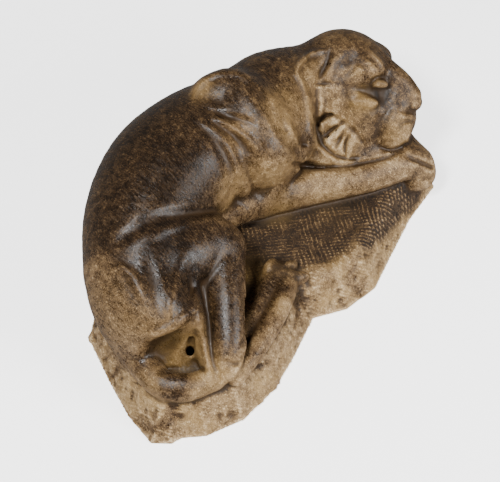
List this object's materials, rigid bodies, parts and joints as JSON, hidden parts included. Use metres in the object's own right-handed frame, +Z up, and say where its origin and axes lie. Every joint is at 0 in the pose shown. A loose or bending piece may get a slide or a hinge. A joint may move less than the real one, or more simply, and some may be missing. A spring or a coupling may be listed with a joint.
{
  "type": "carved stone sleeping lioness sculpture",
  "caption": "Sleeping big cat curled on its forearms, carved in one piece with its rough rocky base, which rests flat.",
  "frame": {"origin": "middle of the footprint, on the underside of the base", "axes": "+X along the block from rump to head, +Y towards the animal's back, +Z up"},
  "size_m": [0.3862, 0.2322, 0.1672],
  "materials": {
    "marble": "dark brown stone, hand polished on the body, tooled and paler on face and base"
  },
  "bodies": {
    "root": {"marble_lion": "marble"}
  },
  "joints": []
}
